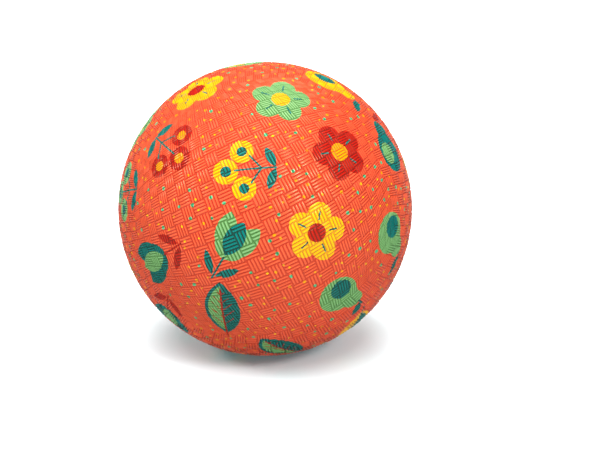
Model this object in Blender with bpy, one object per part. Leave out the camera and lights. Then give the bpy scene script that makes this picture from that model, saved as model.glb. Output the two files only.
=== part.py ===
"""An inflatable rubber play ball, 178 mm across, standing on a floor.

It is a hollow ball of two rubber plies with a self-sealing needle valve. From the outside in the
pieces are the moulded cover, the airtight liner, the valve housing whose flange is bonded inside
the liner, the patch that holds the flange down, and the plug, pressed into the housing, that takes
the pump's needle. The ball's own weight presses a small round flat where it stands, and the origin
is the centre of that flat. +Z is up, and the valve is on the back of the ball, facing +Y.
"""

import math

import bmesh
import bpy
from mathutils import Matrix, Vector

# Driving dimensions of the ball, in metres
BALL_RADIUS = 0.0889
REST_DEPTH = 0.0005
COVER_WALL = 0.0013
LINER_WALL = 0.0006
WEAVE_DEPTH = 0.0005
BOND_GAP = 0.0003
CENTRE = Vector((0, 0, BALL_RADIUS - REST_DEPTH))

# Driving dimensions of the valve, in metres
LAND_RADIUS = 0.0095
NECK_RADIUS = 0.0052
FLANGE_RADIUS = 0.013
FLANGE_WALL = 0.0009
PATCH_RADIUS = 0.020
PATCH_WALL = 0.0008
BOSS_RADIUS = 0.0058
BOSS_END = 0.0730
HEAD_RADIUS = 0.0036
HEAD_DEPTH = 0.0014
STEM_RADIUS = 0.0023
BULB_RADIUS = 0.0032
BULB_OUTER = 0.0805
BULB_INNER = 0.0765
TIP_END = 0.0722
TIP_RADIUS = 0.0019
NEEDLE_RADIUS = 0.0010
FUNNEL_RADIUS = 0.0018
FUNNEL_DEPTH = 0.0012
NEEDLE_END = 0.0775
SLIT_LENGTH = 0.0026
SLIT_WIDTH = 0.0003
PRESS_GAP = 0.00015

# Radii of the plies, worked out from the dimensions above
FLOOR_RADIUS = BALL_RADIUS - WEAVE_DEPTH
LINER_RADIUS = BALL_RADIUS - COVER_WALL - BOND_GAP
FLANGE_TOP = LINER_RADIUS - LINER_WALL - BOND_GAP
PATCH_TOP = FLANGE_TOP - FLANGE_WALL - BOND_GAP
FACE_HEIGHT = math.sqrt(FLOOR_RADIUS**2 - NECK_RADIUS**2)

# How finely the round shapes are drawn
BALL_STEPS = 60
BALL_RINGS = 30
TURNED_STEPS = 40
ARC_POINTS = 4
MERGE_DISTANCE = 1e-7
SHARP_ANGLE = math.radians(35)
CUTTER_REACH = 0.004
VALVE_TURN = Matrix.Rotation(-math.pi / 2, 4, "X")


def linear(hex_colour):
    """The linear red, green, blue and alpha of an sRGB hex colour."""
    channels = [int(hex_colour[i : i + 2], 16) / 255 for i in (1, 3, 5)]
    return [c / 12.92 if c <= 0.04045 else ((c + 0.055) / 1.055) ** 2.4 for c in channels] + [1.0]


def rubber(name, hex_colour, roughness):
    """A rubber compound of one colour."""
    material = bpy.data.materials.new(name)
    material.use_nodes = True
    shader = material.node_tree.nodes["Principled BSDF"]
    shader.inputs["Base Color"].default_value = linear(hex_colour)
    shader.inputs["Roughness"].default_value = roughness
    shader.inputs["Metallic"].default_value = 0.0
    return material


def add_object(name, bm, material):
    """Puts a bmesh in the scene as a smooth-shaded object of one material, and frees the bmesh."""
    bmesh.ops.recalc_face_normals(bm, faces=bm.faces)
    mesh = bpy.data.meshes.new(name)
    bm.to_mesh(mesh)
    bm.free()
    mesh.shade_smooth()
    mesh.set_sharp_from_angle(angle=SHARP_ANGLE)
    if material:
        mesh.materials.append(material)
    obj = bpy.data.objects.new(name, mesh)
    bpy.context.scene.collection.objects.link(obj)
    return obj


def cut(obj, cutter):
    """Takes the cutter's volume out of the object."""
    cutter.hide_render = True
    cutter.display_type = "WIRE"
    modifier = obj.modifiers.new("cut_" + cutter.name, "BOOLEAN")
    modifier.operation = "DIFFERENCE"
    modifier.solver = "EXACT"
    modifier.object = cutter


def pressed_ball(name, radius, flat_height, material=None):
    """A solid ball about the ball's centre, pressed flat at that height above the floor.

    Its poles are on the valve's axis, and every ply has the same steps and rings, so that the gap
    between two plies is even.
    """
    bm = bmesh.new()
    bmesh.ops.create_uvsphere(
        bm, u_segments=BALL_STEPS, v_segments=BALL_RINGS, radius=radius, matrix=VALVE_TURN
    )
    below = bmesh.ops.bisect_plane(
        bm,
        geom=bm.verts[:] + bm.edges[:] + bm.faces[:],
        plane_co=(0, 0, flat_height - CENTRE.z),
        plane_no=(0, 0, -1),
        clear_outer=True,
    )
    rim = [edge for edge in below["geom_cut"] if isinstance(edge, bmesh.types.BMEdge)]
    bmesh.ops.contextual_create(bm, geom=rim)
    obj = add_object(name, bm, material)
    obj.location = CENTRE
    return obj


def arc(radius, from_rho, to_rho):
    """Profile points on the sphere of that radius about the ball's centre.

    A profile point is (rho, height): the distance from the valve's axis and the distance from the
    ball's centre along it. On a sphere height is the root of radius squared less rho squared.
    """
    steps = [i / (ARC_POINTS - 1) for i in range(ARC_POINTS)]
    rhos = [from_rho + (to_rho - from_rho) * step for step in steps]
    return [(rho, math.sqrt(radius**2 - rho**2)) for rho in rhos]


def turned(name, profile, valve_axis, material=None):
    """A closed profile spun about the valve's axis. One that starts and ends at rho 0 is solid."""
    bm = bmesh.new()
    points = [bm.verts.new((rho, 0, height)) for rho, height in profile]
    edges = [bm.edges.new(pair) for pair in zip(points, points[1:])]
    if profile[0][0] > 0:
        edges.append(bm.edges.new((points[-1], points[0])))
    bmesh.ops.spin(
        bm,
        geom=points + edges,
        cent=(0, 0, 0),
        axis=(0, 0, 1),
        angle=2 * math.pi,
        steps=TURNED_STEPS,
        use_merge=True,
    )
    bmesh.ops.remove_doubles(bm, verts=bm.verts, dist=MERGE_DISTANCE)
    obj = add_object(name, bm, material)
    obj.parent = valve_axis
    return obj


def make_valve_axis():
    """An empty at the ball's centre whose local Z runs out through the valve."""
    valve_axis = bpy.data.objects.new("valve_axis", None)
    valve_axis.location = CENTRE
    valve_axis.rotation_euler = VALVE_TURN.to_euler()
    bpy.context.scene.collection.objects.link(valve_axis)
    return valve_axis


def hole_cutter(name, radius, valve_axis):
    """A rod on the valve's axis that reaches past both faces of a ply."""
    profile = [
        (0, LINER_RADIUS - CUTTER_REACH),
        (radius, LINER_RADIUS - CUTTER_REACH),
        (radius, BALL_RADIUS + CUTTER_REACH),
        (0, BALL_RADIUS + CUTTER_REACH),
    ]
    return turned(name, profile, valve_axis)


def make_cover(valve_axis, material):
    """The moulded outer ply, with the valve's hole and the plain, slightly sunk land round it."""
    cover = pressed_ball("outer_cover", BALL_RADIUS, 0, material)
    hollow = pressed_ball("cover_hollow", BALL_RADIUS - COVER_WALL, COVER_WALL)
    land = turned(
        "land_cutter",
        arc(FLOOR_RADIUS, 0, LAND_RADIUS)
        + [(LAND_RADIUS, BALL_RADIUS + CUTTER_REACH), (0, BALL_RADIUS + CUTTER_REACH)],
        valve_axis,
    )
    cut(cover, hollow)
    cut(cover, land)
    cut(cover, hole_cutter("cover_hole_cutter", NECK_RADIUS + BOND_GAP, valve_axis))


def make_liner(valve_axis, material):
    """The thin airtight inner ply, with a hole for the valve's neck."""
    top = COVER_WALL + BOND_GAP
    liner = pressed_ball("inner_liner", LINER_RADIUS, top, material)
    hollow = pressed_ball("liner_hollow", LINER_RADIUS - LINER_WALL, top + LINER_WALL)
    cut(liner, hollow)
    cut(liner, hole_cutter("liner_hole_cutter", NECK_RADIUS + BOND_GAP, valve_axis))


def make_housing(valve_axis, material):
    """The valve's body: a neck through both plies, a flange inside them and a boss with a stepped bore."""
    bore = STEM_RADIUS + PRESS_GAP
    chamber = BULB_RADIUS + PRESS_GAP
    chamber_outer = BULB_OUTER + PRESS_GAP
    chamber_inner = BULB_INNER - PRESS_GAP
    seat = FACE_HEIGHT - HEAD_DEPTH - PRESS_GAP
    profile = [
        (HEAD_RADIUS + PRESS_GAP, FACE_HEIGHT),
        (NECK_RADIUS, FACE_HEIGHT),
        *arc(FLANGE_TOP, NECK_RADIUS, FLANGE_RADIUS),
        *arc(FLANGE_TOP - FLANGE_WALL, FLANGE_RADIUS, BOSS_RADIUS),
        (BOSS_RADIUS, BOSS_END + (BOSS_RADIUS - bore) / 4),
        (BOSS_RADIUS - (BOSS_RADIUS - bore) / 4, BOSS_END),
        (bore, BOSS_END),
        (bore, chamber_inner - (chamber - bore)),
        (chamber, chamber_inner),
        (chamber, chamber_outer),
        (bore, chamber_outer + (chamber - bore)),
        (bore, seat),
        (HEAD_RADIUS + PRESS_GAP, seat),
    ]
    turned("valve_housing", profile, valve_axis, material)


def make_patch(valve_axis, material):
    """The ring of sheet rubber that laps over the flange and on to the liner round it."""
    hole = BOSS_RADIUS + BOND_GAP
    step_out = FLANGE_RADIUS + BOND_GAP
    step_in = step_out + PATCH_WALL
    profile = [
        *arc(PATCH_TOP, hole, step_out),
        *arc(FLANGE_TOP, step_out, PATCH_RADIUS),
        *arc(FLANGE_TOP - PATCH_WALL, PATCH_RADIUS, step_in),
        *arc(PATCH_TOP - PATCH_WALL, step_in, hole),
    ]
    turned("valve_patch", profile, valve_axis, material)


def make_plug(valve_axis, material):
    """The self-sealing plug: a head, a stem, a bulb that locks it in, and a slit tip.

    The needle's channel is blind. Beyond it the needle parts the lips of the slit, which the air
    in the ball presses shut when the needle is out.
    """
    face = FACE_HEIGHT
    head_base = face - HEAD_DEPTH
    profile = [
        (0, NEEDLE_END),
        (NEEDLE_RADIUS, NEEDLE_END),
        (NEEDLE_RADIUS, face - FUNNEL_DEPTH),
        (FUNNEL_RADIUS, face),
        (HEAD_RADIUS, face),
        (HEAD_RADIUS, head_base),
        (STEM_RADIUS, head_base),
        (STEM_RADIUS, BULB_OUTER + (BULB_RADIUS - STEM_RADIUS)),
        (BULB_RADIUS, BULB_OUTER),
        (BULB_RADIUS, BULB_INNER),
        (STEM_RADIUS, BULB_INNER - (BULB_RADIUS - STEM_RADIUS)),
        (TIP_RADIUS, TIP_END),
        (0, TIP_END),
    ]
    plug = turned("valve_plug", profile, valve_axis, material)
    bm = bmesh.new()
    bmesh.ops.create_cube(bm, size=1)
    slit = add_object("slit_cutter", bm, None)
    slit.parent = valve_axis
    slit.location = (0, 0, TIP_END)
    slit_depth = NEEDLE_END - TIP_END
    slit.scale = (SLIT_LENGTH, SLIT_WIDTH, slit_depth)
    cut(plug, slit)


def main():
    for obj in list(bpy.data.objects):
        bpy.data.objects.remove(obj)
    cover_rubber = rubber("cover_rubber", "#F1603B", 0.42)
    liner_rubber = rubber("liner_rubber", "#C9A77A", 0.55)
    housing_rubber = rubber("housing_rubber", "#E9573A", 0.5)
    patch_rubber = rubber("patch_rubber", "#B08D62", 0.6)
    plug_rubber = rubber("plug_rubber", "#26262A", 0.45)
    valve_axis = make_valve_axis()
    make_cover(valve_axis, cover_rubber)
    make_liner(valve_axis, liner_rubber)
    make_housing(valve_axis, housing_rubber)
    make_patch(valve_axis, patch_rubber)
    make_plug(valve_axis, plug_rubber)


main()
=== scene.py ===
"""The looks of an inflatable rubber play ball, 178 mm across, standing on a pale floor.

The cover is one closed mesh: a ball whose skin is woven from square blocks of four raised ridges, as
the mould makes it, with a plain land round the valve and the small flat that the ball's weight
presses. Leaves, flowers, tulips, pears and berries are printed on it in flat inks, with dots strewn
between them. Sizes are in metres, and only the print's outlines, the finish's patterns and the
camera's lens and sensor are in millimetres.
"""

import math

import bmesh
import bpy
import numpy as np
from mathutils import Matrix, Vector


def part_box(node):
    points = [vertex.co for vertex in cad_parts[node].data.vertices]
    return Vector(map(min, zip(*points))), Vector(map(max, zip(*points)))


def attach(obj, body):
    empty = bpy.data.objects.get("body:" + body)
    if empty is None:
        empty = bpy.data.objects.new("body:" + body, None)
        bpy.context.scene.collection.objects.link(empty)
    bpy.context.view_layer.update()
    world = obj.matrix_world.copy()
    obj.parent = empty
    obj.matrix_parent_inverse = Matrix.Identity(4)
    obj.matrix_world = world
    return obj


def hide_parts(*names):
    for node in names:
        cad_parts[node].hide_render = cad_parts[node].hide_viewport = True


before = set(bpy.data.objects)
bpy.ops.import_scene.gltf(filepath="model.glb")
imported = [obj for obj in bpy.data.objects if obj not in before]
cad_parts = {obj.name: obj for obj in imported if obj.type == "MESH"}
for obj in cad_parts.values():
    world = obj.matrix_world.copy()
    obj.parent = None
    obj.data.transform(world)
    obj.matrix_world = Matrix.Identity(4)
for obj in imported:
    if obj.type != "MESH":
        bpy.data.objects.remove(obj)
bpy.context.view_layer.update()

MM = 0.001

# The ball, from the frame. The gap between bonded pieces and the radius of the valve's neck are
# those of the solids
COVER_LOW, COVER_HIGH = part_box("outer_cover")
LINER_LOW, LINER_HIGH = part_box("inner_liner")
_, HOUSING_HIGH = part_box("valve_housing")
RADIUS = (COVER_HIGH[0] - COVER_LOW[0]) / 2
CENTRE = np.array([0, 0, COVER_HIGH[2] - RADIUS])
BOND_GAP = 0.3 * MM
INNER_RADIUS = (LINER_HIGH[0] - LINER_LOW[0]) / 2 + BOND_GAP
COVER_WALL = RADIUS - INNER_RADIUS
VALVE_AXIS = np.array([0.0, 1.0, 0.0])
VALVE_FACE = HOUSING_HIGH[1]
NECK_RADIUS = 5.2 * MM

# The weave's layout: blocks across the front and from front to back, the angle from the front's
# middle to its corners, how far the rows bend round the top, and the valve's place in the back
FACE_BLOCKS = 22
SIDE_BLOCKS = 11
FACE_CORNER = math.radians(65)
BEND = 0.22
BACK_PANEL = 1
VALVE_AT = (FACE_BLOCKS // 2 - 1, FACE_BLOCKS // 2)

# One block of the weave, whose widths are shares of its side and whose heights are shares of the
# weave's depth
RIDGES = 4
WEAVE_DEPTH = 0.5 * MM
BLOCK_MARGIN = 0.035
RIDGE_HALF = 0.105
RIDGE_END = 0.06
BORDER_HEIGHT = 0.2

# A crease runs where both ends of an edge lie below this height and its faces turn by this angle
CREASE_BELOW = 0.3
CREASE_ANGLE = math.radians(15)
MERGE_WITHIN = 0.002 * MM

# The valve's land, with a low bead and a hole whose lip is rounded in three steps
LAND_RADIUS = math.hypot(VALVE_FACE, NECK_RADIUS)
HOLE_RADIUS = NECK_RADIUS + BOND_GAP
LIP_ROUND = 0.25 * MM
LIP_STEPS = np.array([1, 0.3, 0])
BEAD_RADIUS = 7.4 * MM
BEAD_HALF = 0.55 * MM
BEAD_HEIGHT = 0.3 * MM
BEAD_STEPS = 7
LAND_EDGE = BEAD_RADIUS + 1.1 * BEAD_HALF
UNPRINTED_EDGE = BEAD_RADIUS + 3 * MM
INNER_RINGS = 24

# The motifs: how many, how much larger they are printed than drawn, the turn of the spiral that
# spreads them, how far each is shifted at random as a share of the ball's radius, and the room
# round the valve that holds no motif's middle
MOTIFS = 38
MOTIF_SCALE = 1.2
MOTIF_TURN = 0.7
MOTIF_SHIFT = 0.03
MOTIF_SEED = 11
INK_SEED = 2
VALVE_CLEAR = 24 * MM

# The dots: the least distance between those of one ink and from those of the others, and how many
# places are tried for each
DOT_LEAST = 7.0 * MM
DOT_APART = 3.6 * MM
DOT_TRIES = 12
DOT_SEED = 4

CORAL = "#CE5634"
YELLOW = "#D8A900"
AMBER = "#D49200"
MINT = "#78A46B"
TEAL = "#00736C"
RED = "#AC1A0E"
DOT_MINT = "#52A77C"

# A motif's main, second and line inks
MOTIF_INKS = (
    (YELLOW, TEAL, TEAL),
    (MINT, TEAL, TEAL),
    (YELLOW, RED, TEAL),
    (RED, AMBER, TEAL),
    (MINT, YELLOW, TEAL),
    (TEAL, MINT, RED),
)

# Each ink's dots: their colour, how many, and their least and greatest radius
DOT_INKS = {
    "mint_dot": (DOT_MINT, 280, 0.9, 1.25),
    "amber_dot": (AMBER, 600, 0.7, 1.05),
    "yellow_dot": (YELLOW, 260, 0.5, 0.8),
}

# The noise that makes the ink's edge waver: the whole width of its swing, and its waves' size
WAVER_SWING = 0.5
WAVER_SIZE = 1.6

# In the weave's valleys the colour is painted deeper and darker, painted shade for the light that
# leaves them only after it has met the rubber several times, and they are matt. The crests are
# painted a little lighter, a painted highlight. The land round the valve lies open to the light, so
# it gets less of the painted shade
PAINTED_SHADE_DEEPENING = 2.05
PAINTED_SHADE_IN_VALLEYS = 0.85
VALLEY_ROUGHER = 0.3
MATT_BELOW = 0.7
PAINTED_LIGHT_ON_CRESTS = 1.05
OPEN_LAND = 0.6

# The underside gets its light from the floor, which reaches crests and valleys alike, so the
# weave's heights are drawn together there, which weakens the painted valley shade and crest
# highlight that they drive. It starts at the first level and is whole at the second, as shares of
# the radius above the ball's centre
UNDER_FROM = 0.2
UNDER_WHOLE = -0.3
UNDER_SHARE = 0.4
UNDER_HEIGHT = 0.17

# The rubber's gloss, its cloudy patches and the grain that the mould's blasted face leaves. Nearly
# all of the patches' noise lies in its range. The real grain is too fine to show in the render, so
# it is drawn as coarse as one pixel there
PRINT_ROUGHNESS = 0.24
RUBBER_IOR = 1.52
GLOSS_LEVEL = 0.38
GLOSS_TINT = "#FFF1C4"
SHEEN = 0.15
SHEEN_ROUGHNESS = 0.3
CLOUD_SIZE = 30
CLOUD_RANGE = (0.3, 0.7)
CLOUD_SHADE = 0.035
CLOUD_GLOSS = 0.03
GRAIN_SIZE = 0.6
GRAIN_DEPTH = 0.02 * MM
GRAIN_STRENGTH = 0.12

# The floor and its paper, which is tinted cool and has a painted glow that lifts the ball's shadow
# and keeps it grey
FLOOR_HALF = 8.0
PAPER = "#E8F1F3"
PAPER_GLOW = "#B6F1F9"
GLOW_STRENGTH = 0.11
PAPER_ROUGHNESS = 0.9
PAPER_GLOSS = 0.1

# The camera, its lens and sensor in millimetres, and how far its aim lies to the right of the
# ball's centre and below it
LOOK_DOWN = math.radians(20)
CAMERA_DISTANCE = 1.5125
LENS = 150
SENSOR_WIDTH = 36
AIM_ASIDE = 21.0 * MM
AIM_BELOW = 17.6 * MM

# The sky is pale up to the first height and dimmer from the second, with a strength for each
SKY_HEIGHTS = (0.05, 0.13)
SKY_STRENGTHS = (1.02, 0.4)
SUN_STRENGTH = 3.7
SUN_ANGLE = math.radians(50)
SUN_TURN = (math.radians(24), math.radians(-4), 0)

# Each soft light's place, size, watts and whether it shows in the gloss
SOFT_LIGHTS = {
    "from_right": ((0.72, -1.04, 0.9), 0.3, 10.8, True),
    "from_left": ((-1.2, -0.3, 0.9), 0.3, 6.7, True),
    "from_behind": ((0.0, 0.75, 1.25), 0.6, 3.2, False),
    "from_above": ((0.0, 0.2, 1.5), 0.3, 13, False),
    "overhead_softbox": ((0.0, 0.2, 1.45), 1.1, 8, True),
}


def linear(hex_colour):
    """The linear red, green, blue and alpha of an sRGB hex colour."""
    channels = np.array([int(hex_colour[i : i + 2], 16) / 255 for i in (1, 3, 5)])
    lit = np.where(channels <= 0.04045, channels / 12.92, ((channels + 0.055) / 1.055) ** 2.4)
    return (*lit.tolist(), 1.0)


def unit(vectors):
    """The vectors at length 1."""
    return vectors / np.linalg.norm(vectors, axis=-1, keepdims=True)


def read(elements, field, width=1, kind=float):
    """A field of all of a mesh's elements as one array, with a row for each element."""
    values = np.empty(len(elements) * width, kind)
    elements.foreach_get(field, values)
    return values.reshape(-1, width) if width > 1 else values


def set_attribute(mesh, name, kind, domain, values):
    """Writes an array as a mesh attribute."""
    field = {"FLOAT_VECTOR": "vector", "FLOAT_COLOR": "color", "FLOAT": "value"}[kind]
    attribute = mesh.attributes.new(name, kind, domain)
    attribute.data.foreach_set(field, np.ascontiguousarray(values, np.float32).ravel())


def corner_owners(mesh):
    """For each corner of the mesh's faces, the number of its face and of its vertex."""
    totals = read(mesh.polygons, "loop_total", 1, np.int32)
    return np.repeat(np.arange(len(totals)), totals), read(mesh.loops, "vertex_index", 1, np.int32)


# The cover


def ridge_samples():
    """Where a block is sampled across its ridges, from 0 to 1, and which samples are crests.

    The samples are the block's two borders and each ridge's crest and feet, a half width from it.
    """
    pitch = (1 - 2 * BLOCK_MARGIN) / RIDGES
    crests = BLOCK_MARGIN + pitch * (np.arange(RIDGES) + 0.5)
    samples = np.concatenate([[0, 1], crests - RIDGE_HALF, crests, crests + RIDGE_HALF])
    samples = np.sort(samples)
    return samples, np.isin(samples, crests)


def block_template():
    """One block of the weave: (across, along, height) of its points, from 0 to 1, and its faces.

    It is a grid of the samples across the ridges and of stops along them, at both borders and both
    shoulders. All four borders lie at one height and have the same samples, so that a block meets
    one turned a quarter on every side. Its two outermost strips join several samples to one stop.
    """
    samples, is_crest = ridge_samples()
    stops = np.array([0, RIDGE_END, 1 - RIDGE_END, 1])
    is_border = np.isin(stops, (0, 1))
    ridge_across, ridge_along = np.meshgrid(samples[1:-1], stops, indexing="ij")
    ridge_height = np.where(is_border, BORDER_HEIGHT, is_crest[1:-1, None])
    across = np.concatenate([ridge_across.ravel(), np.tile([0, 1], len(samples))])
    along = np.concatenate([ridge_along.ravel(), np.repeat(samples, 2)])
    height = np.concatenate([ridge_height.ravel(), np.full(2 * len(samples), BORDER_HEIGHT)])

    ridge = np.arange(ridge_across.size).reshape(ridge_across.shape)
    left, right = ridge.size + np.arange(2 * len(samples)).reshape(-1, 2).T
    quads = np.stack([ridge[:-1, :-1], ridge[1:, :-1], ridge[1:, 1:], ridge[:-1, 1:]], axis=-1)
    faces = list(quads.reshape(-1, 4))
    shares = np.linspace(0, len(samples) - 1, len(stops)).round().astype(int)
    for stop in range(len(stops) - 1):
        strip = slice(shares[stop], shares[stop + 1] + 1)
        faces.append(np.append(left[strip][::-1], ridge[0, stop : stop + 2]))
        faces.append(np.append(right[strip], ridge[-1, stop : stop + 2][::-1]))
    return across, along, height, faces


def slerp(a, b, share):
    """Directions the given share of the way along the great circle from a to b."""
    angle = np.arccos(np.clip((a * b).sum(axis=-1, keepdims=True), -1, 1))
    share = share[..., None]
    return (np.sin((1 - share) * angle) * a + np.sin(share * angle) * b) / np.sin(angle)


def weave_panels():
    """The six panels of the weave: (u axis, v axis, normal, blocks along u, along v, phase).

    They are the faces of a box whose front and back are squares with corners at a set angle from
    the box's axis. The front and back have as many blocks each way, and the four sides an odd
    number from front to back. Each side's phase is set so that its blocks alternate with those
    across its edges too.
    """
    x_axis = np.array([math.sin(FACE_CORNER) / math.sqrt(2), 0, 0])
    y_axis = np.array([0, math.cos(FACE_CORNER), 0])
    z_axis = np.array([0, 0, math.sin(FACE_CORNER) / math.sqrt(2)])
    faces, sides = FACE_BLOCKS, SIDE_BLOCKS
    return (
        (x_axis, z_axis, -y_axis, faces, faces, 0),
        (-x_axis, z_axis, y_axis, faces, faces, 1),
        (y_axis, z_axis, x_axis, sides, faces, 0),
        (-y_axis, z_axis, -x_axis, sides, faces, 1),
        (x_axis, y_axis, z_axis, faces, sides, 0),
        (x_axis, -y_axis, -z_axis, faces, sides, 1),
    )


def panel_directions(panel, u, v):
    """Directions of the points u and v blocks along a panel, in the box's own frame.

    The panel's sides are great circles between the box's corners. A point is the mean of two: the
    one u of the way between the left and right sides, each at v, and the one v of the way between
    the bottom and top sides, each at u. All are then drawn a little towards the top, which bends
    the rows of blocks into arcs round it.
    """
    u_axis, v_axis, normal, columns, rows, _ = panel
    u, v = u / columns, v / rows
    corner = {(a, b): unit(normal + a * u_axis + b * v_axis) for a in (-1, 1) for b in (-1, 1)}
    left = slerp(corner[-1, -1], corner[-1, 1], v)
    right = slerp(corner[1, -1], corner[1, 1], v)
    bottom = slerp(corner[-1, -1], corner[1, -1], u)
    top = slerp(corner[-1, 1], corner[1, 1], u)
    straight = unit(slerp(left, right, u) + slerp(bottom, top, v))
    return unit(straight + [0, 0, BEND])


def weave_turn():
    """Turns the box so that a point of the back's grid lies on the valve's axis.

    The middle of the unbent back then lies straight below it.
    """
    panel = weave_panels()[BACK_PANEL]
    valve = panel_directions(panel, *(np.array([at]) for at in VALVE_AT))[0]
    down = unit(panel[2] - (panel[2] @ valve) * valve)
    turn = np.outer(VALVE_AXIS, valve) + np.outer([0, 0, -1], down)
    return turn + np.outer([-1, 0, 0], np.cross(valve, down))


def are_for_valve(number, i, j):
    """Which blocks of a panel are the four of the back that make room for the valve."""
    aside, above = VALVE_AT[0] - i, VALVE_AT[1] - j
    return (number == BACK_PANEL) & (aside >= 0) & (aside <= 1) & (above >= 0) & (above <= 1)


def woven_panels():
    """(points, corners, sizes) of the weave on all six panels, without the valve's four blocks.

    A point is its direction times the floor's radius plus its height times the weave's depth. The
    ridges of neighbouring blocks run at right angles, so every other block is turned a quarter,
    and its faces are taken the other way round.
    """
    across, along, height, faces = block_template()
    forwards = np.concatenate(faces)
    backwards = np.concatenate([face[::-1] for face in faces])
    reach = RADIUS - WEAVE_DEPTH * (1 - height)
    all_points = []
    all_turned = []
    for number, panel in enumerate(weave_panels()):
        columns, rows, phase = panel[3:]
        i, j = np.divmod(np.arange(columns * rows)[:, None], rows)
        is_kept = ~are_for_valve(number, i, j)[:, 0]
        i, j = i[is_kept], j[is_kept]
        turned = (i + j + phase) % 2 == 0
        u = i + np.where(turned, along, across)
        v = j + np.where(turned, across, along)
        rays = panel_directions(panel, u, v) @ weave_turn().T
        all_points.append((rays * reach[:, None]).reshape(-1, 3))
        all_turned.append(turned)
    turned = np.concatenate(all_turned)
    first_points = len(across) * np.arange(len(turned))[:, None]
    corners = first_points + np.where(turned, backwards, forwards)
    sizes = np.tile([len(face) for face in faces], len(turned))
    return np.concatenate(all_points), corners.ravel(), sizes


def square_hole():
    """Directions of the border of the square that the weave leaves for the valve, in order."""
    samples = ridge_samples()[0]
    side = np.concatenate([samples[:-1] - 1, samples])
    low, high = side[0], side[-1]
    forth, back = side[:-1], side[:0:-1]
    u = np.concatenate([forth, np.full(len(forth), high), back, np.full(len(back), low)])
    v = np.concatenate([np.full(len(forth), low), forth, np.full(len(back), high), back])
    panel = weave_panels()[BACK_PANEL]
    return panel_directions(panel, VALVE_AT[0] + u, VALVE_AT[1] + v) @ weave_turn().T


def land_rings():
    """The rings of the bead and of the hole's lip: how far each lies from the valve's axis, and
    how far along it.

    The land is a sphere round the ball's centre. The bead stands on it by half a round, and the
    lip rounds off into the hole.
    """
    around = np.linspace(0, math.pi, BEAD_STEPS)
    bead = BEAD_RADIUS + BEAD_HALF * np.cos(around)
    bead_reach = LAND_RADIUS + BEAD_HEIGHT * np.sin(around)
    lip = HOLE_RADIUS + LIP_ROUND * LIP_STEPS
    lip_reach = LAND_RADIUS - LIP_ROUND * LIP_STEPS[::-1]
    aside = np.concatenate([bead, lip])
    return aside, np.sqrt(np.concatenate([bead_reach, lip_reach]) ** 2 - aside**2)


def inner_rings():
    """The rings of the inner skin, a sphere from the hole to the point opposite: how far each lies
    from the valve's axis, and how far along it."""
    polar = np.linspace(math.asin(HOLE_RADIUS / INNER_RADIUS), math.pi, INNER_RINGS)[:-1]
    return INNER_RADIUS * np.sin(polar), INNER_RADIUS * np.cos(polar)


def land_and_inner_skin():
    """(points, corners, sizes) of what closes the weave: the land, the hole's wall and the inner
    skin, and the number of the inner skin's first point.

    It is a grid of columns, one for each point of the square's border, and of rings. The last ring
    closes on one point opposite the valve.
    """
    border = square_hole()
    count = len(border)
    facing = np.arctan2(border[:, 2], border[:, 0])
    spokes = np.stack([np.cos(facing), np.zeros(count), np.sin(facing)], axis=1)
    land, inner = land_rings(), inner_rings()
    aside, along = (np.concatenate(pair)[:, None, None] for pair in zip(land, inner))
    edge = border * (RADIUS - WEAVE_DEPTH * (1 - BORDER_HEIGHT))
    rings = (spokes * aside + VALVE_AXIS * along).reshape(-1, 3)
    points = np.concatenate([edge, rings, -VALVE_AXIS[None] * INNER_RADIUS])

    grid = np.arange(len(points) - 1).reshape(-1, count)
    beside = np.roll(grid, -1, axis=1)
    quads = np.stack([grid[:-1], beside[:-1], beside[1:], grid[1:]], axis=-1)
    fan = np.stack([grid[-1], beside[-1], np.full(count, len(points) - 1)], axis=-1)
    corners = np.concatenate([quads.ravel(), fan.ravel()])
    sizes = np.repeat([4, 3], [grid[1:].size, count])
    return points, corners, sizes, (1 + len(land[0])) * count


def make_mesh(name, points, corners, sizes):
    """A mesh of these points and faces, with its doubles merged and its faces pointing outwards.

    corners lists the points of one face after another, and sizes how many points each face has.
    """
    mesh = bpy.data.meshes.new(name)
    mesh.vertices.add(len(points))
    mesh.vertices.foreach_set("co", points.ravel())
    mesh.loops.add(len(corners))
    mesh.loops.foreach_set("vertex_index", corners.astype(np.int32))
    mesh.polygons.add(len(sizes))
    mesh.polygons.foreach_set("loop_start", (np.cumsum(sizes) - sizes).astype(np.int32))
    mesh.update(calc_edges=True)
    bm = bmesh.new()
    bm.from_mesh(mesh)
    bmesh.ops.remove_doubles(bm, verts=bm.verts, dist=MERGE_WITHIN)
    bmesh.ops.recalc_face_normals(bm, faces=bm.faces)
    bm.to_mesh(mesh)
    bm.free()
    return mesh


def crease_ridge_feet(mesh):
    """Creases the smooth mesh along the ridges' feet, so that each ridge looks round.

    Every edge has two faces, because the mesh is closed, so the corners sorted by their edge give
    each edge's pair of faces. The cosine of the angle between their normals tells how far they turn.
    """
    reach = np.linalg.norm(read(mesh.vertices, "co", 3) - CENTRE, axis=1)
    is_low = reach < RADIUS - WEAVE_DEPTH * (1 - CREASE_BELOW)
    ends = read(mesh.edges, "vertices", 2, np.int32)
    face_of, _ = corner_owners(mesh)
    by_edge = np.argsort(read(mesh.loops, "edge_index", 1, np.int32), kind="stable")
    one, other = face_of[by_edge].reshape(-1, 2).T
    normals = read(mesh.polygons, "normal", 3)
    cosine = (normals[one] * normals[other]).sum(axis=1)
    is_crease = is_low[ends].all(axis=1) & (cosine < math.cos(CREASE_ANGLE))
    mesh.edges.foreach_set("use_edge_sharp", is_crease)


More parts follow.
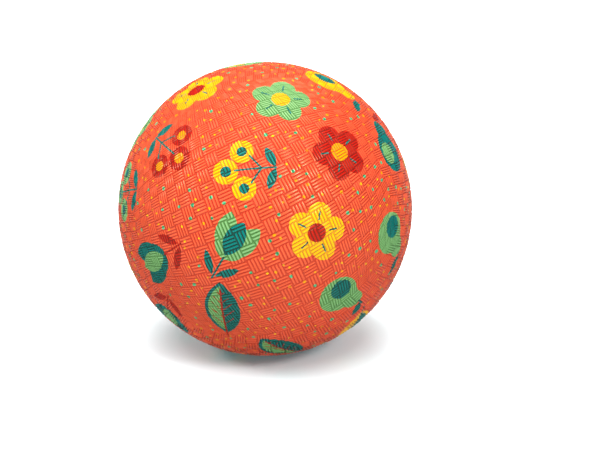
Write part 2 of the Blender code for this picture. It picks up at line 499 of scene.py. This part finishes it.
def make_cover():
    """The cover as one closed mesh, pressed flat where it stands."""
    weave, weave_corners, weave_sizes = woven_panels()
    land, land_corners, land_sizes, inner_start = land_and_inner_skin()
    weave = weave + CENTRE
    land = land + CENTRE
    weave[:, 2] = np.maximum(weave[:, 2], 0)
    land[inner_start:, 2] = np.maximum(land[inner_start:, 2], COVER_WALL)
    points = np.concatenate([weave, land])
    corners = np.concatenate([weave_corners, len(weave) + land_corners])
    mesh = make_mesh("printed_cover", points, corners, np.concatenate([weave_sizes, land_sizes]))
    crease_ridge_feet(mesh)
    cover = bpy.data.objects.new("printed_cover", mesh)
    bpy.context.scene.collection.objects.link(cover)
    return cover


def mark_relief(mesh):
    """Writes each point's height in the weave, 0 in the floor and 1 on a crest, as an attribute.

    The land round the valve counts as high, and on the underside the heights are drawn together,
    so that the painted shade and highlight that they drive are weaker there.
    """
    points = read(mesh.vertices, "co", 3) - CENTRE
    reach = np.linalg.norm(points, axis=1)
    height = np.clip((reach - (RADIUS - WEAVE_DEPTH)) / WEAVE_DEPTH, 0, 1)
    is_near = (np.hypot(points[:, 0], points[:, 2]) < LAND_EDGE) & (points[:, 1] > 0)
    is_land = is_near & (reach > LAND_RADIUS - LIP_ROUND)
    height = np.where(is_land, np.maximum(height, OPEN_LAND), height)
    # Painted light: low on the ball the heights move towards a middle height, weakening the painted
    # valley shade and crest highlight
    under = np.clip((UNDER_FROM - points[:, 2] / RADIUS) / (UNDER_FROM - UNDER_WHOLE), 0, 1)
    height += UNDER_SHARE * under * (UNDER_HEIGHT - height)
    set_attribute(mesh, "relief", "FLOAT", "POINT", height)


# Where the print goes


def spread_directions(count, turn):
    """Directions spread evenly over a ball: a spiral that turns by the golden angle each step."""
    steps = np.arange(count) + 0.5
    height = 1 - 2 * steps / count
    around = steps * math.pi * (3 - math.sqrt(5)) + turn
    flat = np.sqrt(1 - height**2)
    return np.stack([flat * np.cos(around), height, flat * np.sin(around)], axis=1)


def motif_places():
    """(directions, sideways, upright) of the motifs: evenly spread, shifted and turned at random."""
    rng = np.random.default_rng(MOTIF_SEED)
    places = spread_directions(MOTIFS, MOTIF_TURN)
    places = unit(places + rng.normal(0, MOTIF_SHIFT, places.shape))
    sideways = unit(np.cross(places, unit(rng.normal(0, 1, places.shape))))
    return places, sideways, np.cross(places, sideways)


def nearest_of(rays, places, parts=64):
    """For each ray the number of the nearest place, found in several parts to save memory."""
    found = [np.argmax(part @ places.T, axis=1) for part in np.array_split(rays, parts)]
    return np.concatenate(found)


def local_place(rays, sideways, upright, scale):
    """Each ray's distance along the two directions, in millimetres over the scale."""
    aside = (rays * sideways).sum(axis=1) * RADIUS / MM / scale
    above = (rays * upright).sum(axis=1) * RADIUS / MM / scale
    return np.stack([aside, above], axis=1)


def under_motif(rays, places, sideways, upright, half_sizes):
    """Which rays fall within the ellipse that holds their nearest motif."""
    motif = nearest_of(rays, places)
    place = local_place(rays, sideways[motif], upright[motif], MOTIF_SCALE)
    return np.hypot(*(place / half_sizes[motif]).T) < 1


def scattered(rng, count, is_taken, others):
    """Random directions outside what is taken, no nearer than set to each other and the others."""
    tries = unit(rng.normal(0, 1, (DOT_TRIES * count, 3)))
    tries = tries[~is_taken(tries)]
    tries = tries[(tries @ others.T).max(axis=1) < math.cos(DOT_APART / RADIUS)]
    nearest = math.cos(DOT_LEAST / RADIUS)
    kept = tries[:1]
    for ray in tries[1:]:
        if len(kept) < count and (kept @ ray).max() < nearest:
            kept = np.concatenate([kept, ray[None]])
    return kept


def are_unprinted(middles):
    """Which faces carry no print: those of the inner skin and of the land with its surroundings."""
    is_inner = np.linalg.norm(middles, axis=1) < INNER_RADIUS + BOND_GAP
    is_near = np.hypot(middles[:, 0], middles[:, 2]) < UNPRINTED_EDGE
    return is_inner | (is_near & (middles[:, 1] > 0))


def place_motifs(mesh, corner_rays, own, sideways, upright):
    """Writes motif_place, each corner's distance from the middle of its own motif, along two
    directions that touch the ball there."""
    place = local_place(corner_rays, sideways[own], upright[own], MOTIF_SCALE)
    place = np.column_stack([place, np.zeros(len(place))])
    set_attribute(mesh, "motif_place", "FLOAT_VECTOR", "CORNER", place)


def ink_motifs(mesh, motif):
    """Deals the inks out to the motifs at random, and writes each face's three as attributes."""
    inks_of = np.random.default_rng(INK_SEED).permutation(np.arange(MOTIFS) % len(MOTIF_INKS))
    for which, name in enumerate(("main_ink", "second_ink", "line_ink")):
        inks = np.array([linear(choice[which]) for choice in MOTIF_INKS])
        set_attribute(mesh, name, "FLOAT_COLOR", "FACE", inks[inks_of[motif]])


def strew_dots(mesh, rays, corner_rays, face_of, unprinted, is_taken):
    """Strews each ink's dots, clear of the valve and of what is taken, and writes an attribute.

    It holds each corner's distance from its face's nearest dot, along two directions that touch
    the ball there, and the dot's radius, or -1 on a face that carries no print.
    """
    rng = np.random.default_rng(DOT_SEED)
    others = VALVE_AXIS[None]
    for name, (_, number, least, greatest) in DOT_INKS.items():
        dots = scattered(rng, number, is_taken, others)
        others = np.concatenate([others, dots])
        dot_side = unit(np.cross(dots, unit(rng.normal(0, 1, dots.shape))))
        radius = rng.uniform(least, greatest, len(dots))
        own = nearest_of(rays, dots)[face_of]
        place = local_place(corner_rays, dot_side[own], np.cross(dots, dot_side)[own], scale=1)
        shown = np.where(unprinted[face_of], -1, radius[own])
        set_attribute(mesh, name, "FLOAT_VECTOR", "CORNER", np.column_stack([place, shown]))


def lay_out_print(mesh, half_sizes):
    """Gives each face the motif and the dots nearest to it, and the material of its motif's kind."""
    middles = read(mesh.polygons, "center", 3) - CENTRE
    rays = unit(middles)
    face_of, vertex_of = corner_owners(mesh)
    corner_rays = unit(read(mesh.vertices, "co", 3) - CENTRE)[vertex_of]
    unprinted = are_unprinted(middles)

    places, sideways, upright = motif_places()
    near_valve = places[:, 1] > math.cos(VALVE_CLEAR / RADIUS)
    kind_of = np.where(near_valve, 0, 1 + np.arange(MOTIFS) % (len(half_sizes) - 1))
    motif = nearest_of(rays, places)
    material = np.where(unprinted, 0, kind_of[motif])
    mesh.polygons.foreach_set("material_index", material.astype(np.int32))
    place_motifs(mesh, corner_rays, motif[face_of], sideways, upright)
    ink_motifs(mesh, motif)

    def is_taken(tries):
        """Which directions are a motif's."""
        return under_motif(tries, places, sideways, upright, half_sizes[kind_of])

    strew_dots(mesh, rays, corner_rays, face_of, unprinted, is_taken)


# The motifs' outlines, as formulas of a point on the ball's skin


def add(tree, kind, *inputs, output=None, **settings):
    """Adds a node. kind is its type, with its operation after a dot where it has one.

    inputs are, in the order of its sockets, a value, another node's output, None for a socket left
    as it is, or a nested formula: a tuple of a kind and its own inputs. It gives the named output,
    or the first that the node shows.
    """
    type_name, _, operation = kind.partition(".")
    made = tree.nodes.new("ShaderNode" + type_name)
    if operation:
        made.operation = operation
    for name, value in settings.items():
        setattr(made, name, value)
    for socket, value in zip(made.inputs, inputs):
        if isinstance(value, tuple) and isinstance(value[0], str):
            value = add(tree, *value)
        if isinstance(value, bpy.types.NodeSocket):
            tree.links.new(value, socket)
        elif value is not None:
            socket.default_value = value
    if output:
        return made.outputs[output]
    return next(socket for socket in made.outputs if socket.enabled)


def seen_from(tree, point, x, y, degrees=0.0):
    """The point as seen from (x, y) in a frame turned by so many degrees."""
    turn = (0, 0, math.radians(degrees))
    return add(tree, "Mapping", point, (x, y, 0), turn, (1, 1, 1), vector_type="TEXTURE")


def mirrored(tree, point):
    """The point with its x made positive, so that what is drawn on the right is also on the left."""
    split = add(tree, "SeparateXYZ", point).node
    return add(tree, "CombineXYZ", ("Math.ABSOLUTE", split.outputs[0]), split.outputs[1], 0.0)


def disc(point, x, y, radius):
    """Distance outside a disc, below 0 inside it."""
    return ("Math.SUBTRACT", ("VectorMath.DISTANCE", point, (x, y, 0)), radius)


def lens(tree, point, length, width):
    """Distance outside a pointed leaf outline along x, where two equal discs overlap."""
    half, rise = length / 2, width / 2
    reach = (half**2 + rise**2) / (2 * rise)
    split = add(tree, "SeparateXYZ", point).node
    drop = ("Math.ADD", ("Math.ABSOLUTE", split.outputs[1]), reach - rise)
    folded = add(tree, "CombineXYZ", split.outputs[0], drop, 0.0)
    return add(tree, "Math.SUBTRACT", ("VectorMath.LENGTH", folded), reach)


def stroke(tree, point, length, width):
    """Distance outside a line with round ends that runs from the origin along x."""
    split = add(tree, "SeparateXYZ", point).node
    nearest = ("Math.MINIMUM", ("Math.MAXIMUM", split.outputs[0], 0.0), length)
    past = ("Math.SUBTRACT", split.outputs[0], nearest)
    offset = add(tree, "CombineXYZ", past, split.outputs[1], 0.0)
    return add(tree, "Math.SUBTRACT", ("VectorMath.LENGTH", offset), width / 2)


def any_of(tree, *shapes):
    """Distance outside the nearest of several shapes."""
    found = shapes[0]
    for shape in shapes[1:]:
        found = add(tree, "Math.MINIMUM", found, shape)
    return found


def both(tree, *shapes):
    """Distance outside what several shapes have in common."""
    found = shapes[0]
    for shape in shapes[1:]:
        found = add(tree, "Math.MAXIMUM", found, shape)
    return found


def leaf_motif(tree, point):
    """A pointed leaf, one half in the second ink, with a midrib, side veins and a stalk.

    The veins are bars at a steady spacing, slanted by a share of their distance from the midrib.
    """
    vein_half, vein_spacing, vein_slant = 0.28, 2.4, 0.9
    blade = lens(tree, point, length=34, width=18)
    split = add(tree, "SeparateXYZ", point).node
    x, y = split.outputs[0], split.outputs[1]
    inset = lens(tree, point, length=30, width=14.5)
    half = both(tree, inset, ("Math.MULTIPLY", y, -1.0))
    slant = ("Math.SUBTRACT", x, ("Math.MULTIPLY", ("Math.ABSOLUTE", y), vein_slant))
    bars = ("Math.SUBTRACT", ("Math.PINGPONG", slant, vein_spacing), vein_half)
    veins = both(tree, bars, lens(tree, point, length=27, width=12))
    rib = stroke(tree, seen_from(tree, point, x=-21, y=0), length=34, width=0.9)
    return blade, half, any_of(tree, rib, veins)


def flower_motif(tree, point):
    """Five round petals round a disc of the second ink, with a fine stroke down each petal."""
    count, first_petal = 5, 10
    petals = []
    strokes = []
    for number in range(count):
        turned = seen_from(tree, point, x=0, y=0, degrees=360 / count * number + first_petal)
        petals.append(disc(turned, x=8.6, y=0, radius=6.1))
        strokes.append(stroke(tree, seen_from(tree, turned, x=6.6, y=0), length=3.6, width=0.8))
    heart = disc(point, x=0, y=0, radius=4.6)
    middle = disc(point, x=0, y=0, radius=7)
    return any_of(tree, middle, *petals), heart, any_of(tree, *strokes)


def tulip_motif(tree, point):
    """A cup with three points, its middle petal in the second ink, on a stalk with two leaves."""
    sides = mirrored(tree, point)
    outer = lens(tree, seen_from(tree, sides, x=5.0, y=3.5, degrees=73), length=21, width=11)
    bowl = disc(point, x=0, y=-0.5, radius=8.0)
    middle = lens(tree, seen_from(tree, point, x=0, y=3.0, degrees=90), length=19, width=10)
    stalk = stroke(tree, seen_from(tree, point, x=0, y=-8, degrees=-90), length=13, width=1.0)
    leaves = lens(tree, seen_from(tree, sides, x=5.2, y=-14.2, degrees=48), length=13, width=4.2)
    return any_of(tree, outer, bowl), middle, any_of(tree, stalk, leaves)


def pear_motif(tree, point):
    """A pear with a cheek of the second ink, a stalk and a small leaf.

    Its body is two discs that run into each other with a smooth waist.
    """
    waist = 5.0
    belly = disc(point, x=0, y=-4, radius=10.5)
    neck = disc(point, x=0, y=8, radius=5.2)
    cheek = disc(point, x=-3.2, y=-5.0, radius=5.6)
    stalk = stroke(tree, seen_from(tree, point, x=0, y=12, degrees=78), length=5, width=1.1)
    leaf = lens(tree, seen_from(tree, point, x=5.4, y=16.4, degrees=24), length=10, width=4.6)
    return ("Math.SMOOTH_MIN", belly, neck, waist), cheek, any_of(tree, stalk, leaf)


def berry_motif(tree, point):
    """Three berries on one forked stalk, each with a spot of the second ink."""
    sides = mirrored(tree, point)
    lower, upper = {"x": 9.2, "y": 0}, {"x": 0, "y": 8.4}
    berries = any_of(tree, disc(sides, **lower, radius=5.8), disc(point, **upper, radius=6.2))
    spots = any_of(tree, disc(sides, **lower, radius=2.5), disc(point, **upper, radius=2.7))
    stalk = stroke(tree, seen_from(tree, point, x=0, y=4, degrees=-90), length=20, width=0.9)
    forks = stroke(tree, seen_from(tree, sides, x=0, y=-9, degrees=38), length=8.5, width=0.9)
    leaf = lens(tree, seen_from(tree, sides, x=5.4, y=-13.6, degrees=22), length=11, width=4.4)
    return berries, spots, any_of(tree, stalk, forks, leaf)


# Each kind of motif, and the half width and half height of the ellipse that dots keep out of
MOTIF_KINDS = {
    leaf_motif: (20, 11),
    flower_motif: (17, 17),
    tulip_motif: (15, 21),
    pear_motif: (13, 20),
    berry_motif: (17, 18),
}
NO_MOTIF = (0.1, 0.1)


# Materials


def blank_material(name):
    """(material, tree, shader) of a new material that has only its Principled shader."""
    material = bpy.data.materials.new(name)
    material.use_nodes = True
    tree = material.node_tree
    return material, tree, tree.nodes["Principled BSDF"]


def moulded_rubber(tree, shader, colour, roughness, relief):
    """The finish of moulded rubber on the shader, over the given colour and height in the weave.

    Rubber from a blasted mould has a soft gloss, which cloudy patches some centimetres wide make
    stronger and weaker and a fine grain breaks up, and the faint sheen of a skin with bloom on it.
    Objects' coordinates are in metres, so a pattern of so many millimetres has a scale of 1000
    over it. The colour is painted lighter on the weave's crests and darker and deeper in its
    valleys, a painted highlight and painted shade.
    """
    where = add(tree, "TexCoord", output="Object")
    clouds = add(tree, "TexNoise", where, None, 1000 / CLOUD_SIZE, 3.0, output="Fac")
    grain = add(tree, "TexNoise", where, None, 1000 / GRAIN_SIZE, 2.0, output="Fac")
    shade = add(tree, "MapRange", clouds, *CLOUD_RANGE, 1 - CLOUD_SHADE, 1 + CLOUD_SHADE)
    # Painted highlight on the crests and painted shade in the valleys, mixed by the height in the
    # weave
    crest = add(tree, "VectorMath.MULTIPLY", colour, (PAINTED_LIGHT_ON_CRESTS,) * 3)
    valley = add(tree, "VectorMath.MULTIPLY", ("Gamma", colour, PAINTED_SHADE_DEEPENING), (PAINTED_SHADE_IN_VALLEYS,) * 3)
    mixed = ("MixRGB", relief, valley, crest)
    toned = add(tree, "VectorMath.SCALE", mixed, None, None, shade)
    tree.links.new(toned, shader.inputs["Base Color"])
    least, greatest = roughness - CLOUD_GLOSS, roughness + CLOUD_GLOSS
    gloss = add(tree, "MapRange", clouds, *CLOUD_RANGE, least, greatest)
    matt = add(tree, "MapRange", relief, 0.0, MATT_BELOW, VALLEY_ROUGHER, 0.0)
    tree.links.new(add(tree, "Math.ADD", gloss, matt), shader.inputs["Roughness"])
    bump = add(tree, "Bump", GRAIN_STRENGTH, GRAIN_DEPTH, None, grain)
    tree.links.new(bump, shader.inputs["Normal"])
    shader.inputs["IOR"].default_value = RUBBER_IOR
    shader.inputs["Specular IOR Level"].default_value = GLOSS_LEVEL
    shader.inputs["Specular Tint"].default_value = linear(GLOSS_TINT)
    shader.inputs["Sheen Weight"].default_value = SHEEN
    shader.inputs["Sheen Roughness"].default_value = SHEEN_ROUGHNESS


def printed_rubber(name, motif):
    """Moulded coral rubber with flat inks printed on it: dots, and over them one kind of motif.

    The ink is thin and takes the rubber's relief and gloss. Its edge wavers a little, as where it
    was pressed on to the ridges.
    """
    material, tree, shader = blank_material(name)
    where = add(tree, "TexCoord", output="Object")
    noise = add(tree, "TexNoise", where, None, 1000 / WAVER_SIZE, 1.0, output="Color")
    centred = ("VectorMath.SUBTRACT", noise, (0.5, 0.5, 0.5))
    waver = add(tree, "VectorMath.SCALE", centred, None, None, WAVER_SWING)
    colour = linear(CORAL)
    for attribute, (ink, *_) in DOT_INKS.items():
        dot = add(tree, "Attribute", attribute_name=attribute, output="Vector")
        split = add(tree, "SeparateXYZ", ("VectorMath.ADD", dot, waver)).node
        flat = add(tree, "CombineXYZ", split.outputs[0], split.outputs[1], 0.0)
        inside = add(tree, "Math.LESS_THAN", ("VectorMath.LENGTH", flat), split.outputs[2])
        colour = add(tree, "MixRGB", inside, colour, linear(ink))
    if motif:
        place = add(tree, "Attribute", attribute_name="motif_place", output="Vector")
        shapes = motif(tree, add(tree, "VectorMath.ADD", place, waver))
        for shape, ink_name in zip(shapes, ("main_ink", "second_ink", "line_ink")):
            ink = add(tree, "Attribute", attribute_name=ink_name, output="Color")
            colour = add(tree, "MixRGB", ("Math.LESS_THAN", shape, 0.0), colour, ink)
    relief = add(tree, "Attribute", attribute_name="relief", output="Fac")
    moulded_rubber(tree, shader, colour, PRINT_ROUGHNESS, relief)
    return material


def plain_rubber(name, hex_colour, roughness):
    """Moulded or sheet rubber of one colour, with no print and no weave."""
    material, tree, shader = blank_material(name)
    colour = add(tree, "RGB", output="Color")
    colour.default_value = linear(hex_colour)
    moulded_rubber(tree, shader, colour, roughness, relief=1.0)
    return material


def dress_cover(mesh):
    """Puts the printed materials on the cover, one for each kind of motif, and lays out the print."""
    mesh.materials.append(printed_rubber("moulded_rubber_dots", None))
    for motif in MOTIF_KINDS:
        mesh.materials.append(printed_rubber("moulded_rubber_" + motif.__name__, motif))
    lay_out_print(mesh, np.array([NO_MOTIF, *MOTIF_KINDS.values()]))
    mark_relief(mesh)


def dress_inner_pieces():
    """Gives the pieces of the frame that stay their own rubber.

    The dipped liner and the sheet patch are undyed gum rubber, tan and dull. The valve's housing is
    moulded in the cover's coral, and its plug in black rubber with a slight gloss.
    """
    finishes = {
        "inner_liner": ("dipped_rubber_liner", "#C9A77A", 0.55),
        "valve_housing": ("moulded_rubber_housing", "#D25A38", 0.5),
        "valve_patch": ("sheet_rubber_patch", "#B08D62", 0.6),
        "valve_plug": ("moulded_rubber_plug", "#26262A", 0.45),
    }
    for node, finish in finishes.items():
        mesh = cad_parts[node].data
        mesh.materials.clear()
        mesh.materials.append(plain_rubber(*finish))


# The setting


def make_floor():
    """A plain pale floor of matt paper that reaches past every view.

    Its paper has a painted glow, a little emitted light as from a light table below, which keeps
    the ball's shadow soft. The glow and the paper are cool, so that the shadow stays grey beside the
    warm ball.
    """
    half = FLOOR_HALF
    mesh = bpy.data.meshes.new("floor")
    corners = [(-half, -half, 0), (half, -half, 0), (half, half, 0), (-half, half, 0)]
    mesh.from_pydata(corners, [], [(0, 1, 2, 3)])
    floor = bpy.data.objects.new("floor", mesh)
    bpy.context.scene.collection.objects.link(floor)
    material, _, shader = blank_material("white_paper_with_painted_glow")
    shader.inputs["Base Color"].default_value = linear(PAPER)
    # Painted glow: the paper emits a little cool light, which lifts the ball's shadow and keeps it
    # grey
    shader.inputs["Emission Color"].default_value = linear(PAPER_GLOW)
    shader.inputs["Emission Strength"].default_value = GLOW_STRENGTH
    shader.inputs["Roughness"].default_value = PAPER_ROUGHNESS
    shader.inputs["Specular IOR Level"].default_value = PAPER_GLOSS
    mesh.materials.append(material)
    floor.visible_glossy = False


def make_camera():
    """The photograph's view, from the front and a little above, through a long lens."""
    right = Vector((1, 0, 0))
    back = Vector((0, -math.cos(LOOK_DOWN), math.sin(LOOK_DOWN)))
    up = back.cross(right)
    camera = bpy.data.objects.new("camera", bpy.data.cameras.new("camera"))
    camera.data.lens = LENS
    camera.data.sensor_width = SENSOR_WIDTH
    aim = Vector(CENTRE) + right * AIM_ASIDE - up * AIM_BELOW
    camera.location = aim + back * CAMERA_DISTANCE
    camera.rotation_euler = (math.pi / 2 - LOOK_DOWN, 0, 0)
    bpy.context.scene.collection.objects.link(camera)
    bpy.context.scene.camera = camera


def make_sky():
    """A pale sky that is brightest at the horizon, where it runs on into the floor."""
    world = bpy.data.worlds.new("studio")
    world.use_nodes = True
    tree = world.node_tree
    height = add(tree, "SeparateXYZ", add(tree, "TexCoord", output="Generated")).node.outputs[2]
    strength = add(tree, "MapRange", height, *SKY_HEIGHTS, *SKY_STRENGTHS)
    background = tree.nodes["Background"]
    background.inputs["Color"].default_value = (1, 1, 1, 1)
    tree.links.new(strength, background.inputs["Strength"])
    bpy.context.scene.world = world
    world.cycles_visibility.glossy = False


def make_sun():
    """A broad sun nearly overhead, for an even floor."""
    light = bpy.data.lights.new("broad_sun", "SUN")
    light.energy = SUN_STRENGTH
    light.angle = SUN_ANGLE
    lamp = bpy.data.objects.new("broad_sun", light)
    lamp.rotation_euler = SUN_TURN
    lamp.visible_glossy = False
    bpy.context.scene.collection.objects.link(lamp)


def make_soft_light(name, place, size, watts, is_seen):
    """A square soft light that faces the ball, and is seen in its gloss or not."""
    light = bpy.data.lights.new(name, "AREA")
    light.shape = "SQUARE"
    light.size = size
    light.energy = watts
    lamp = bpy.data.objects.new(name, light)
    lamp.location = place
    lamp.rotation_euler = (Vector(CENTRE) - Vector(place)).to_track_quat("-Z", "Y").to_euler()
    lamp.visible_glossy = is_seen
    bpy.context.scene.collection.objects.link(lamp)


def make_light():
    """The sky, the sun and five soft lights.

    Only the overhead softbox and the two lights from the sides show in the rubber's gloss, as
    with polarising filters on the rest.
    """
    make_sky()
    make_sun()
    for name, light in SOFT_LIGHTS.items():
        make_soft_light(name, *light)
    bpy.context.scene.view_settings.view_transform = "Standard"


def main():
    """Builds the cover, dresses all pieces and sets the stage."""
    make_camera()
    cover = make_cover()
    dress_cover(cover.data)
    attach(cover, "root")
    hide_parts("outer_cover")
    dress_inner_pieces()
    make_floor()
    make_light()


main()
